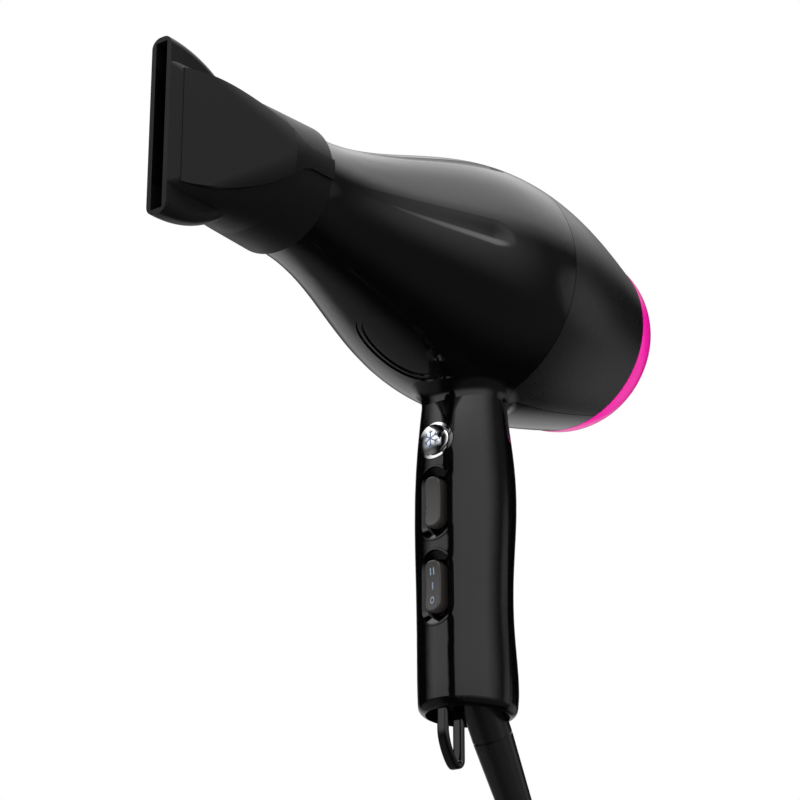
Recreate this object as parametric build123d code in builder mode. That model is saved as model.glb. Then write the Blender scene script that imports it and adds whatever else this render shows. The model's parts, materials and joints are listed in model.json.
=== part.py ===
from build123d import *
import os
from math import cos, pi, radians, sin, sqrt, tan

os.makedirs("parts", exist_ok=True)

# All sizes are millimetres. X runs along the barrel towards the rear, Z is up,
# and the origin is the middle of the hand grip.

# Fits
seam = 0.3              # parting lines of the housing
slip = 0.3              # round pieces that turn or slide
snug = 0.2              # round fixed pieces in their pockets
running_fit = 0.05      # radial play of a shaft or pin in its bore
reach = 260.0           # longer than the dryer, for cuts that go right through

# Barrel
underside_z = 62.8      # barrel's underside above the middle of the grip
barrel_front = 108.5    # handle axis to the nozzle's seat
barrel_rear = 69.0      # handle axis to the intake ring
wall = 2.4
neck_x = -64.0
neck_radius = 30.3
shoulder_x = -14.0
shoulder_radius = 45.4
belly_x = 8.0
belly_swell = 1.8       # belly over the shoulder
back_x = 36.0
back_draw = 2.8         # back of the barrel under the belly
rear_radius = 36.9
rear_draw = 0.3         # slope of the lining at the rear
seam_x = 7.0            # front housing meets the rear cover
strip_width = 26.0      # underside strip that belongs to the handle's back
spigot_radius = 21.6
spigot_length = 19.5
spigot_wall = 2.0
seat_step = 0.8         # barrel over its spigot, where the nozzle ends
bore_length = 24.0      # straight part of the outlet bore

# Styling scoops along the barrel, pointed in front and deep at the rear
scoop_lift = 5.0        # middle of the round cutter above the skin
scoop_depth = 1.5
scoop_sections = 5
scoop_front_x = -94.0
scoop_rear_x = -16.0
scoop_angle = 54.0      # above the horizontal through the axis
oval_x = -40.0          # shallow oval under the barrel, in front of the handle
oval_length = 40.0
oval_width = 26.0
oval_depth = 0.6
oval_ledge = 2.2        # width of the step inside the oval's edge

# Handle
handle_bottom = -58.0
handle_depth = 37.6
handle_width = 34.0
heel_z = -46.0
heel_shift = 0.5
heel_depth = 39.8
heel_width = 35.0
palm_z = -20.0
palm_shift = -0.9
palm_depth = 37.4
palm_width = 34.4
swell_z = 19.0
swell_depth = 40.0
swell_width = 36.2
collar_z = 44.0
collar_depth = 37.6
collar_width = 34.0
root_height = 14.0      # handle's form runs this far up into the barrel
root_shift = 2.6
root_depth = 31.0
handle_split_x = 2.0    # front half of the handle meets the back half
ledge_z = 55.5          # the handle's split ends here, under the barrel
junction_fillet = 7.0
bottom_fillet = 3.5
floor_z = -52.0         # underside of the recessed end cap
floor_thickness = 2.4

# Nozzle
skirt_wall = 1.3        # nozzle's wall round the spigot
skirt_flare = 0.8       # its rear rim over its throat
nozzle_wall = 2.1
nozzle_length = 62.5
mouth_half_length = 33.0
mouth_thickness = 8.8
mouth_corner = 3.6
mouth_wall = 1.9
core_half_length = 25.0 # round duct's own half length at the mouth
blade_bow_x = 16.0      # behind the mouth, where the blade's edge starts to dive
blade_bow = 2.0         # drawn in there
blade_root_x = 33.0
blade_root = 11.0       # drawn in where the blade ends inside the duct
round_share = 0.98      # corner of a nearly round section over its radius
panel_rise = 1.0
panel_mouth_rise = 0.25
panel_half_width = 21.2
panel_start = 4.5       # behind the mouth
panel_shoulder_x = 25.5
panel_shoulder = 18.0
panel_neck = 15.5       # in front of the rear rim
panel_neck_half_width = 5.2
panel_tab_half_width = 3.8

# Intake
ring_length = 11.5
ring_draw = 3.9         # end of the ring under its front edge
ring_bulge = 0.6        # share of the length where the ring's side bulges most
ring_face = 3.6         # width of the ring's flat end
ring_lip = 2.0
grille_thickness = 3.4
grille_seat = 1.8       # grille's edge behind the lip
grille_hub_radius = 6.0
grille_rib = 1.4
grille_spokes = 12
collar_length = 7.0
collar_wall = 1.9
mesh_thickness = 0.7
mesh_pitch = 5.0
mesh_hole = 3.8

# Heater
shield_length = 80.0
shield_wall = 0.6
mica_thickness = 1.0
wire_radius = 0.9
wire_turn_radius = 15.5
wire_pitch = 8.0
wire_turns = 7
grille_plate = 2.2
outlet_spokes = 6
emitter_radius = 1.5
emitter_length = 5.0
emitter_taper = 12.0
thermostat_length = 12.0
thermostat_width = 8.0
thermostat_height = 5.0
fuse_radius = 1.8
fuse_length = 12.0

# Motor and fan
motor_radius = 18.0
motor_length = 44.0
motor_middle = -2.0
bush_radius = 4.0
bush_length = 4.0
shaft_radius = 2.0
guide_gap = 7.9         # guide's bore under the barrel's lining
guide_wall = 1.6
guide_front = -14.0
guide_rear = 43.0
guide_vanes = 7
vane_thickness = 1.6
flange_thickness = 3.0
fan_hub_radius = 10.0
fan_hub_length = 14.0
fan_gap = 1.5           # blade tips to the guide
fan_blades = 9
blade_chord = 16.0
blade_thickness = 1.6
root_pitch = 48.0
tip_pitch = 26.0

# Switches on the front of the handle
heat_z = 18.0
speed_z = -13.9
cool_z = 42.3
tray_length = 29.0
tray_width = 14.6
tray_wall = 0.7
tray_lip = 0.3
tray_depth = 4.5        # depths are measured from the front of the swell
dish_depth = 3.4
dish_slope = 32.0
rocker_half_length = 9.6
rocker_half_width = 3.4
rocker_corner = 3.0
rocker_proud = 1.4
rocker_root_depth = 2.6
rocker_dish = 0.9
rocker_edge = 0.6
rocker_pivot_depth = 6.6
rocker_hub = 1.8
rocker_tilt = 9.0       # each way from the middle
pin_radius = 1.2
pin_half_length = 5.4
switch_front_depth = 8.6
switch_depth = 9.8
switch_half_width = 7.0
switch_half_length = 12.5
cheek = 2.0
bezel_radius = 7.2
bezel_wall = 1.1
bezel_depth = 6.4
bezel_floor = 1.2
button_proud = 1.6
button_dome = 1.4
stem_radius = 2.6
button_travel = 2.5
micro_front_depth = 10.8
micro_half_width = 5.0
micro_half_length = 6.3
arm = 1.6

# Fasteners and pieces inside the handle
high_screw_z = 52.0
low_screw_z = -31.0
screw_radius = 1.45
screw_head_radius = 2.9
screw_head = 2.2
screw_seat_x = 10.0
screw_tip_x = -8.0
boss_radius = 3.2
post_radius = 4.6
rib = 1.6
ion_low_z = 10.0
ion_length = 28.0
ion_depth = 10.0
ion_half_width = 8.0
ion_back_x = 13.0
terminal_low_z = -20.0
terminal_length = 12.0
terminal_half_width = 7.2
terminal_hole_radius = 1.6

# Hanging loop
loop_front_x = -14.8
loop_rear_x = -5.4
loop_straight = 9.0     # front strap below the handle before it bends
loop_drop = 19.4        # middle of the loop's bottom below the handle
loop_bottom = 4.6       # length of its flat bottom, before its corners are rounded
loop_thickness = 2.4
loop_width = 4.4
loop_bend = 2.2
loop_foot = 4.6         # length of the feet that stop it pulling out
loop_foot_height = 2.0

# Cord
relief_tilt = 31.0      # from straight down towards the rear
relief_x = 12.5         # where its axis crosses the handle's bottom
relief_radius = 7.5
relief_tip_radius = 5.2
relief_length = 58.0
relief_collar_radius = 8.6
relief_collar = 3.0
relief_stub = 16.0
relief_groove = 0.7     # round groove just outside the handle
relief_groove_at = 5.0
cord_radius = 4.0
cord_gap = 0.7          # between the turns of the coil
lead_run = 26.0         # straight out of the strain relief
bend_share = 0.45       # of a run taken up by the bend at its end
coil_quarters = 12      # quarter turns that spiral in, and again out
coil_outer_radius = 56.5
tie_width = 4.0
tie_thickness = 1.2
tail_run = 24.0
plug_length = 40.0
plug_face_length = 12.0 # straight part behind the plug's face
plug_face_width = 35.0
plug_face_thickness = 24.0
plug_face_corner = 11.0
plug_neck_radius = 6.4
prong_spacing = 19.0
prong_radius = 2.4
prong_length = 19.0

# Sizes and places worked out from those
belly_radius = shoulder_radius + belly_swell
back_radius = belly_radius - back_draw
seat_radius = spigot_radius + seat_step
spigot_bore = spigot_radius - spigot_wall
axis_height = underside_z + belly_radius    # barrel axis above the middle of the grip
barrel_plane = Plane(origin=(0, 0, axis_height), x_dir=(1, 0, 0), z_dir=(0, -1, 0))
barrel_axis = Axis((0, 0, axis_height), (1, 0, 0))
side_plane = Plane(origin=(0, 0, 0), x_dir=(1, 0, 0), z_dir=(0, -1, 0))
spigot_front = -barrel_front - spigot_length
nozzle_throat_radius = spigot_radius + slip + skirt_wall
nozzle_radius = nozzle_throat_radius + skirt_flare
nozzle_rear = -barrel_front - slip
throat_x = spigot_front - slip
mouth_x = nozzle_rear - nozzle_length
ring_front = barrel_rear + slip
ring_rear = ring_front + ring_length
ring_end_radius = rear_radius - ring_draw
ring_lip_radius = ring_end_radius - ring_face
grille_radius = ring_lip_radius + grille_seat
collar_radius = rear_radius - wall - slip
guide_bore = belly_radius - wall - guide_gap
fan_tip_radius = guide_bore - fan_gap
floor_top = floor_z + floor_thickness
front_x = -swell_depth / 2
tray_back_x = front_x + tray_depth
rocker_front_x = front_x - rocker_proud
rocker_root_x = front_x + rocker_root_depth
rocker_pivot_x = front_x + rocker_pivot_depth
switch_front_x = front_x + switch_front_depth
bezel_back_x = front_x + bezel_depth
button_front_x = front_x - button_proud
micro_front_x = front_x + micro_front_depth


def across(x):
    # Plane square to the barrel, with its middle on the axis
    return Plane(origin=(x, 0, axis_height), x_dir=(0, 1, 0), z_dir=(1, 0, 0))


def facing(x):
    # Plane square to the front of the handle, looking forwards
    return Plane(origin=(x, 0, 0), x_dir=(0, -1, 0), z_dir=(-1, 0, 0))


def slab(x, y, z, mode=Mode.SUBTRACT):
    # Box between pairs of limits
    with Locations(((x[0] + x[1]) / 2, (y[0] + y[1]) / 2, (z[0] + z[1]) / 2)):
        Box(x[1] - x[0], y[1] - y[0], z[1] - z[0], mode=mode)


def barrel_skin(inset):
    # Barrel's outline above its axis, drawn in by the inset
    return Spline(
        (-barrel_front, seat_radius - inset),
        (neck_x, neck_radius - inset),
        (shoulder_x, shoulder_radius - inset),
        (belly_x, belly_radius - inset),
        (back_x, back_radius - inset),
        (barrel_rear, rear_radius - inset),
    )


def handle_sections(grow):
    # Oval sections of the handle from its bottom up into the barrel
    sections = []
    for level, middle, depth, width in (
        (handle_bottom, 0, handle_depth, handle_width),
        (heel_z, heel_shift, heel_depth, heel_width),
        (palm_z, palm_shift, palm_depth, palm_width),
        (swell_z, 0, swell_depth, swell_width),
        (collar_z, 0, collar_depth, collar_width),
        (underside_z + root_height, root_shift, root_depth, collar_width),
    ):
        with BuildSketch(Plane.XY.offset(level)) as section:
            with Locations((middle, 0)):
                Ellipse(depth / 2 + grow, width / 2 + grow)
        sections.append(section.sketch)
    return sections


def save(piece, name):
    piece.part.label = name
    export_step(piece.part, f"parts/{name}.step")


# Whole outside of the dryer's body, before it is parted
with BuildPart() as outer_form:
    with BuildSketch(barrel_plane):
        with BuildLine():
            skin = barrel_skin(0)
            Polyline(skin @ 1, (barrel_rear, 0), (-barrel_front, 0), skin @ 0)
        make_face()
    revolve(axis=barrel_axis)
    loft(handle_sections(0))
    junction = outer_form.edges().filter_by_position(Axis.X, -handle_depth, handle_depth)
    fillet(junction.filter_by_position(Axis.Z, ledge_z, axis_height - belly_radius / 2), junction_fillet)
    fillet(outer_form.edges().group_by(Axis.Z)[0], bottom_fillet)
    with BuildSketch(across(-barrel_front)):
        Circle(spigot_radius)
    extrude(amount=-spigot_length)

# Hollow inside of the body
with BuildPart() as inner_form:
    with BuildSketch(barrel_plane):
        with BuildLine():
            lining = Spline(
                (bore_length - barrel_front - spigot_length, spigot_bore),
                (neck_x, neck_radius - wall),
                (shoulder_x, shoulder_radius - wall),
                (belly_x, belly_radius - wall),
                (back_x, back_radius - wall),
                (barrel_rear, rear_radius - wall),
                tangents=((1, 0), (1, -rear_draw)),
            )
            Polyline(
                lining @ 1,
                (barrel_rear + wall, rear_radius - wall),
                (barrel_rear + wall, 0),
                (spigot_front - wall, 0),
                (spigot_front - wall, spigot_bore),
                lining @ 0,
            )
        make_face()
    revolve(axis=barrel_axis)
    loft(handle_sections(-wall))


def skin_point(x):
    # Point of the barrel's outline at a given place along the axis
    low = 0.0
    high = 1.0
    for halving in range(40):
        middle = (low + high) / 2
        if (skin @ middle).X < x:
            low = middle
        else:
            high = middle
    return skin @ low


# Round cutter along the top of the barrel that sinks in towards its round rear end
with BuildPart() as scoop_cutter:
    scoop_rings = []
    for count in range(scoop_sections):
        share = count / (scoop_sections - 1)
        x = scoop_front_x + (scoop_rear_x - scoop_front_x) * share
        middle = skin_point(x).Y + scoop_lift
        with BuildSketch(across(x)) as section:
            with Locations((0, middle)):
                Circle(scoop_lift + scoop_depth * share)
        scoop_rings.append(section.sketch)
    loft(scoop_rings)
    with Locations((scoop_rear_x, 0, axis_height + middle)):
        Sphere(scoop_lift + scoop_depth)


def oval_cutter(inset, depth):
    # Oval prism under the barrel, stopped a little way below the skin
    with BuildPart() as cutter:
        with BuildSketch(Plane.XY.offset(underside_z - wall)):
            with Locations((oval_x, 0)):
                Ellipse(oval_length / 2 - inset, oval_width / 2 - inset)
        extrude(amount=belly_radius)
        with BuildSketch(barrel_plane):
            with BuildLine():
                sunk_skin = barrel_skin(depth)
                Polyline(sunk_skin @ 1, (barrel_rear, 0), (-barrel_front, 0), sunk_skin @ 0)
            make_face()
        revolve(axis=barrel_axis, mode=Mode.SUBTRACT)
    return cutter.part


# Bosses for the two housing screws, run into the handle's wall
with BuildPart() as front_bosses:
    with BuildSketch(facing(handle_split_x - seam / 2)):
        with Locations((0, high_screw_z), (0, low_screw_z)):
            Circle(boss_radius)
    extrude(amount=handle_depth)
    loft(handle_sections(-wall / 2), mode=Mode.INTERSECT)

# Front housing: front of the barrel with the front half of the handle
with BuildPart() as front_housing:
    add(outer_form.part)
    add(inner_form.part, mode=Mode.SUBTRACT)
    slab((seam_x - seam / 2, reach), (-reach, reach), (-reach, reach))
    slab((handle_split_x - seam / 2, reach), (-reach, reach), (-reach, ledge_z))
    for side in (-1, 1):
        add(scoop_cutter.part.rotate(barrel_axis, side * (90 - scoop_angle)), mode=Mode.SUBTRACT)
    add(oval_cutter(0, oval_depth), mode=Mode.SUBTRACT)
    add(oval_cutter(oval_ledge, 2 * oval_depth), mode=Mode.SUBTRACT)
    add(front_bosses.part)
    with BuildSketch(facing(handle_split_x)):
        with Locations((0, high_screw_z), (0, low_screw_z)):
            Circle(screw_radius + running_fit)
    extrude(amount=handle_split_x - screw_tip_x + snug, mode=Mode.SUBTRACT)
    with BuildSketch(facing(switch_front_x)):
        with Locations((0, heat_z), (0, speed_z)):
            SlotOverall(tray_length + 2 * snug, tray_width + 2 * snug, rotation=90)
        with Locations((0, cool_z)):
            Circle(bezel_radius + snug)
    extrude(amount=swell_depth / 2, mode=Mode.SUBTRACT)
save(front_housing, "front_housing")

# Rear cover: back of the barrel down to the underside strip
with BuildPart() as rear_cover:
    add(outer_form.part)
    add(inner_form.part, mode=Mode.SUBTRACT)
    slab((-reach, seam_x + seam / 2), (-reach, reach), (-reach, reach))
    slab((-reach, reach), (-reach, reach), (-reach, ledge_z))
    strip_edge = (strip_width + seam) / 2
    slab((-reach, reach), (-strip_edge, strip_edge), (-reach, axis_height))
save(rear_cover, "rear_cover")

# Back half of the handle, carrying the underside strip, the inner ribs and the screw posts
with BuildPart() as back_region:
    slab((handle_split_x + seam / 2, reach), (-reach, reach), (-reach, ledge_z - seam), Mode.ADD)
    strip_edge = (strip_width - seam) / 2
    slab((seam_x + seam / 2, reach), (-strip_edge, strip_edge), (0, axis_height), Mode.ADD)

with BuildPart() as inner_ribs:
    ion_high_z = ion_low_z + ion_length
    ion_span = (-ion_half_width, ion_half_width)
    slab((ion_back_x, reach), ion_span, (ion_low_z + rib, ion_low_z + 2 * rib), Mode.ADD)
    slab((ion_back_x, reach), ion_span, (ion_high_z - 2 * rib, ion_high_z - rib), Mode.ADD)
    terminal_span = (-terminal_half_width, terminal_half_width)
    slab((handle_split_x + seam, reach), terminal_span, (terminal_low_z - rib, terminal_low_z), Mode.ADD)
    with BuildSketch(facing(handle_split_x + seam / 2)):
        with Locations((0, high_screw_z), (0, low_screw_z)):
            Circle(post_radius)
    extrude(amount=-handle_depth)
    loft(handle_sections(-wall / 2), mode=Mode.INTERSECT)

relief_way = Vector(sin(radians(relief_tilt)), 0, -cos(radians(relief_tilt)))
relief_exit = Vector(relief_x, 0, handle_bottom)
relief_plane = Plane(origin=relief_exit, x_dir=relief_way, z_dir=(0, -1, 0))
relief_axis = Axis(relief_exit, relief_way)
relief_section = Plane(origin=relief_exit, x_dir=(0, 1, 0), z_dir=relief_way)

with BuildPart() as handle_back:
    add(outer_form.part)
    add(inner_form.part, mode=Mode.SUBTRACT)
    add(back_region.part, mode=Mode.INTERSECT)
    add(inner_ribs.part)
    with BuildSketch(facing(handle_split_x)):
        with Locations((0, high_screw_z), (0, low_screw_z)):
            Circle(screw_radius + snug)
    extrude(amount=-reach, mode=Mode.SUBTRACT)
    with BuildSketch(facing(screw_seat_x)):
        with Locations((0, high_screw_z), (0, low_screw_z)):
            Circle(screw_head_radius + snug)
    extrude(amount=-reach, mode=Mode.SUBTRACT)
    with BuildSketch(relief_section):
        Circle(relief_radius + slip)
    extrude(amount=relief_stub, both=True, mode=Mode.SUBTRACT)
save(handle_back, "handle_back")

with BuildPart() as housing_screws:
    with BuildSketch(facing(screw_seat_x)):
        with Locations((0, high_screw_z), (0, low_screw_z)):
            Circle(screw_head_radius)
    extrude(amount=-screw_head)
    with BuildSketch(facing(screw_seat_x)):
        with Locations((0, high_screw_z), (0, low_screw_z)):
            Circle(screw_radius)
    extrude(amount=screw_seat_x - screw_tip_x)
save(housing_screws, "housing_screws")

# Recessed floor of the handle, with the loop's slots and the cord's hole
with BuildPart() as end_cap:
    slab((-reach, reach), (-reach, reach), (floor_z, floor_top), Mode.ADD)
    loft(handle_sections(-wall - snug), mode=Mode.INTERSECT)
    slot_edge = loop_width / 2 + snug
    slot_reach = loop_thickness / 2 + snug
    for strap_x in (loop_front_x, loop_rear_x):
        slab((strap_x - slot_reach, strap_x + slot_reach), (-slot_edge, slot_edge), (floor_z, floor_top))
    with BuildSketch(relief_section):
        Circle(relief_radius + slip)
    extrude(amount=relief_stub, both=True, mode=Mode.SUBTRACT)
save(end_cap, "end_cap")

# Hanging loop: a flat strip whose two feet sit on the end cap
foot_z = floor_top + snug + loop_foot_height / 2
foot_shift = (loop_foot - loop_thickness) / 2
with BuildPart() as hang_loop:
    with BuildSketch(side_plane):
        with BuildLine():
            FilletPolyline(
                (loop_front_x, foot_z),
                (loop_front_x, handle_bottom - loop_straight),
                (loop_rear_x - loop_bottom, handle_bottom - loop_drop),
                (loop_rear_x, handle_bottom - loop_drop),
                (loop_rear_x, foot_z),
                radius=loop_bend,
            )
        trace(line_width=loop_thickness)
        with Locations((loop_front_x + foot_shift, foot_z), (loop_rear_x - foot_shift, foot_z)):
            Rectangle(loop_foot, loop_foot_height)
    extrude(amount=loop_width / 2, both=True)
save(hang_loop, "hang_loop")


# Nozzle
def duct_section(x, thickness, length, corner):
    with BuildSketch(across(x)) as section:
        RectangleRounded(thickness, length, corner)
    return section.sketch


def round_section(x, radius):
    # Circle with short flats, so that its corners pair with a slot's
    return duct_section(x, 2 * radius, 2 * radius, radius * round_share)


def blade_outline(inset):
    # Flat fishtail that dives into the round duct behind the mouth
    bow = ThreePointArc(
        (mouth_x, mouth_half_length - inset),
        (mouth_x + blade_bow_x, mouth_half_length - blade_bow - inset),
        (mouth_x + blade_root_x, mouth_half_length - blade_root - inset),
    )
    Polyline(bow @ 1, (mouth_x + blade_root_x, 0), (mouth_x, 0), bow @ 0)


with BuildPart() as nozzle_panels:
    loft([
        round_section(nozzle_rear, nozzle_radius + panel_rise),
        round_section(throat_x, nozzle_throat_radius + panel_rise),
    ])
    loft([
        round_section(throat_x, nozzle_throat_radius + panel_rise),
        duct_section(
            mouth_x,
            mouth_thickness + 2 * panel_mouth_rise,
            2 * mouth_half_length,
            mouth_corner,
        ),
    ])
    with BuildSketch(barrel_plane):
        with BuildLine():
            panel_edge = ThreePointArc(
                (mouth_x + panel_start, panel_half_width),
                (mouth_x + panel_shoulder_x, panel_shoulder),
                (nozzle_rear - panel_neck, panel_neck_half_width),
            )
            Polyline(
                panel_edge @ 1,
                (nozzle_rear - panel_neck + panel_tab_half_width, panel_tab_half_width),
                (nozzle_rear, panel_tab_half_width),
                (nozzle_rear, 0),
                (mouth_x + panel_start, 0),
                panel_edge @ 0,
            )
        make_face()
        mirror(about=Plane.XZ)
    extrude(amount=reach, both=True, mode=Mode.INTERSECT)

with BuildPart() as nozzle_blade:
    with BuildSketch(barrel_plane):
        with BuildLine():
            blade_outline(0)
        make_face()
        mirror(about=Plane.XZ)
    extrude(amount=mouth_thickness / 2, both=True)
    fillet(nozzle_blade.edges().filter_by(GeomType.CIRCLE), mouth_corner)

slot_thickness = mouth_thickness - 2 * mouth_wall
core_slot_length = 2 * (core_half_length - nozzle_wall)
with BuildPart() as nozzle:
    loft([
        round_section(nozzle_rear, nozzle_radius),
        round_section(throat_x, nozzle_throat_radius),
    ])
    loft([
        round_section(throat_x, nozzle_throat_radius),
        duct_section(mouth_x, mouth_thickness, 2 * core_half_length, mouth_corner),
    ])
    add(nozzle_panels.part)
    add(nozzle_blade.part)
    loft([
        round_section(throat_x, nozzle_throat_radius - nozzle_wall),
        duct_section(mouth_x, slot_thickness, core_slot_length, mouth_corner - mouth_wall),
    ], mode=Mode.SUBTRACT)
    with BuildSketch(barrel_plane):
        with BuildLine():
            blade_outline(mouth_wall)
        make_face()
        mirror(about=Plane.XZ)
    extrude(amount=slot_thickness / 2, both=True, mode=Mode.SUBTRACT)
    with BuildSketch(across(nozzle_rear)):
        Circle(spigot_radius + slip)
    extrude(amount=throat_x - nozzle_rear, mode=Mode.SUBTRACT)
save(nozzle, "nozzle")

# Outlet grille in the end of the barrel, with the ion emitter at its middle
outlet_radius = spigot_bore - snug
with BuildPart() as outlet_grille:
    with BuildSketch(across(spigot_front)):
        Circle(outlet_radius)
        Circle(outlet_radius - grille_rib, mode=Mode.SUBTRACT)
        for share in (2 / 3, 1 / 3):
            Circle(outlet_radius * share)
            Circle(outlet_radius * share - grille_rib, mode=Mode.SUBTRACT)
        Circle(2 * grille_rib)
        with PolarLocations(outlet_radius / 2, outlet_spokes):
            Rectangle(outlet_radius - grille_rib, grille_rib)
    extrude(amount=grille_plate)
save(outlet_grille, "outlet_grille")

with BuildPart() as ion_emitter:
    with BuildSketch(across(spigot_front)):
        Circle(emitter_radius)
    extrude(amount=-emitter_length, taper=emitter_taper)
save(ion_emitter, "ion_emitter")

# Heater: mica tube, crossed mica boards and a wire wound round them
shield_front = spigot_front + grille_plate + snug
shield_bore = outlet_radius - shield_wall
with BuildPart() as heater_shield:
    with BuildSketch(across(shield_front)):
        Circle(outlet_radius)
        Circle(shield_bore, mode=Mode.SUBTRACT)
    extrude(amount=shield_length)
save(heater_shield, "heater_shield")

wire_start = shield_front + wire_pitch


def wire_corner(step):
    turn = radians(90 * step)
    x = wire_start + step * wire_pitch / 4
    return (x, wire_turn_radius * cos(turn), axis_height + wire_turn_radius * sin(turn))


wire_steps = 4 * wire_turns
board_half_width = shield_bore - snug
with BuildPart() as heater_frame:
    with BuildSketch(across(shield_front + wire_pitch / 2)):
        Rectangle(2 * board_half_width, mica_thickness)
        Rectangle(mica_thickness, 2 * board_half_width)
    extrude(amount=shield_length - wire_pitch)
    notch_floor = wire_turn_radius - 2.3 * wire_radius
    for step in range(wire_steps + 1):
        x, y, z = wire_corner(step)
        with Locations(Plane(origin=(x, 0, axis_height), x_dir=(1, 0, 0), z_dir=(0, y, z - axis_height))):
            with Locations((0, 0, (notch_floor + board_half_width) / 2)):
                Box(3 * wire_radius, 2 * mica_thickness, board_half_width - notch_floor, mode=Mode.SUBTRACT)
save(heater_frame, "heater_frame")

with BuildPart() as heater_wire:
    with BuildLine() as wire_path:
        Polyline(*[wire_corner(step) for step in range(wire_steps + 1)])
    with BuildSketch(wire_path.line ^ 0):
        Circle(wire_radius)
    sweep(transition=Transition.RIGHT)
save(heater_wire, "heater_wire")

board_rear = shield_front + shield_length - wire_pitch / 2
with BuildPart() as thermostat:
    board_top = axis_height + mica_thickness / 2
    slab(
        (board_rear - thermostat_length, board_rear - snug),
        (thermostat_width / 2, thermostat_width * 1.5),
        (board_top, board_top + thermostat_height),
        Mode.ADD,
    )
save(thermostat, "thermostat")

with BuildPart() as thermal_fuse:
    fuse_place = (thermostat_width, -mica_thickness / 2 - fuse_radius)
    with BuildSketch(across(board_rear - fuse_length)):
        with Locations(fuse_place):
            Circle(fuse_radius)
    extrude(amount=fuse_length - snug)
save(thermal_fuse, "thermal_fuse")

# Motor with its two bushes, and the shaft and fan that turn together
motor_front = motor_middle - motor_length / 2
motor_rear = motor_middle + motor_length / 2
end_boss = 1.5 * bush_radius
boss_length = 0.75 * bush_length
motor_bore = shaft_radius + 2 * snug
with BuildPart() as motor:
    with BuildSketch(barrel_plane):
        with BuildLine():
            Polyline(
                (motor_front - boss_length, bush_radius),
                (motor_front - boss_length, end_boss),
                (motor_front, end_boss),
                (motor_front, motor_radius),
                (motor_rear, motor_radius),
                (motor_rear, end_boss),
                (motor_rear + boss_length, end_boss),
                (motor_rear + boss_length, bush_radius),
                (motor_rear + boss_length - bush_length, bush_radius),
                (motor_rear + boss_length - bush_length, motor_bore),
                (motor_front - boss_length + bush_length, motor_bore),
                (motor_front - boss_length + bush_length, bush_radius),
                close=True,
            )
        make_face()
    revolve(axis=barrel_axis)
save(motor, "motor")

with BuildPart() as motor_bushes:
    with BuildSketch(across(motor_front - boss_length), across(motor_rear + boss_length - bush_length)):
        Circle(bush_radius)
        Circle(shaft_radius + running_fit, mode=Mode.SUBTRACT)
    extrude(amount=bush_length)
save(motor_bushes, "motor_bushes")

fan_front = motor_rear + boss_length + bush_length
fan_x = fan_front + fan_hub_length / 2
shaft_front = motor_front - boss_length - wall
with BuildPart() as motor_shaft:
    with BuildSketch(across(shaft_front)):
        Circle(shaft_radius)
    extrude(amount=fan_front + fan_hub_length + snug - shaft_front)
save(motor_shaft, "motor_shaft")


def blade_section(radius, pitch):
    plane = Plane(
        origin=(fan_x, 0, axis_height + radius),
        x_dir=(sin(radians(pitch)), cos(radians(pitch)), 0),
        z_dir=(0, 0, 1),
    )
    with BuildSketch(plane) as section:
        Rectangle(blade_chord, blade_thickness)
    return section.sketch


with BuildPart() as fan_blade:
    loft([
        blade_section(fan_hub_radius - blade_thickness, root_pitch),
        blade_section(fan_tip_radius, tip_pitch),
    ])

with BuildPart() as fan_impeller:
    with BuildSketch(across(fan_front)):
        Circle(fan_hub_radius)
    extrude(amount=fan_hub_length)
    for blade in range(fan_blades):
        add(fan_blade.part.rotate(barrel_axis, blade * 360 / fan_blades))
    with BuildSketch(across(fan_front)):
        Circle(shaft_radius)
    extrude(amount=fan_hub_length, mode=Mode.SUBTRACT)
save(fan_impeller, "fan_impeller")

# Guide tube round the fan, clamped at the seam, whose vanes hold the motor
holder_bore = motor_radius + snug
holder_radius = holder_bore + guide_wall
guide_flange = belly_radius - wall - snug
with BuildPart() as fan_guide:
    with BuildSketch(across(guide_front)):
        Circle(guide_bore + guide_wall)
        Circle(guide_bore, mode=Mode.SUBTRACT)
    extrude(amount=guide_rear - guide_front)
    with BuildSketch(across(seam_x - flange_thickness - seam)):
        Circle(guide_flange)
        Circle(guide_bore, mode=Mode.SUBTRACT)
    extrude(amount=flange_thickness)
    with BuildSketch(across(guide_front)):
        Circle(holder_radius)
        Circle(holder_bore, mode=Mode.SUBTRACT)
        with PolarLocations((holder_radius + guide_bore) / 2, guide_vanes):
            Rectangle(guide_bore - holder_radius + guide_wall, vane_thickness)
    extrude(amount=motor_rear - guide_front)
save(fan_guide, "fan_guide")

# Intake ring, with its collar inside the rear cover, the grille and the mesh
rebate_radius = grille_radius + snug
rebate_front = ring_rear - ring_lip - grille_thickness - snug
collar_bore = collar_radius - collar_wall
with BuildPart() as intake_ring:
    with BuildSketch(barrel_plane):
        with BuildLine():
            ThreePointArc(
                (ring_front, rear_radius),
                (ring_front + ring_bulge * ring_length, rear_radius - (1 - ring_bulge) * ring_draw),
                (ring_rear, ring_end_radius),
            )
            Polyline(
                (ring_rear, ring_end_radius),
                (ring_rear, ring_lip_radius),
                (ring_rear - ring_lip, ring_lip_radius),
                (ring_rear - ring_lip, rebate_radius),
                (rebate_front, rebate_radius),
                (rebate_front, collar_bore),
                (ring_front - collar_length, collar_bore),
                (ring_front - collar_length, collar_radius),
                (ring_front, collar_radius),
                (ring_front, rear_radius),
            )
        make_face()
    revolve(axis=barrel_axis)
save(intake_ring, "intake_ring")

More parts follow.
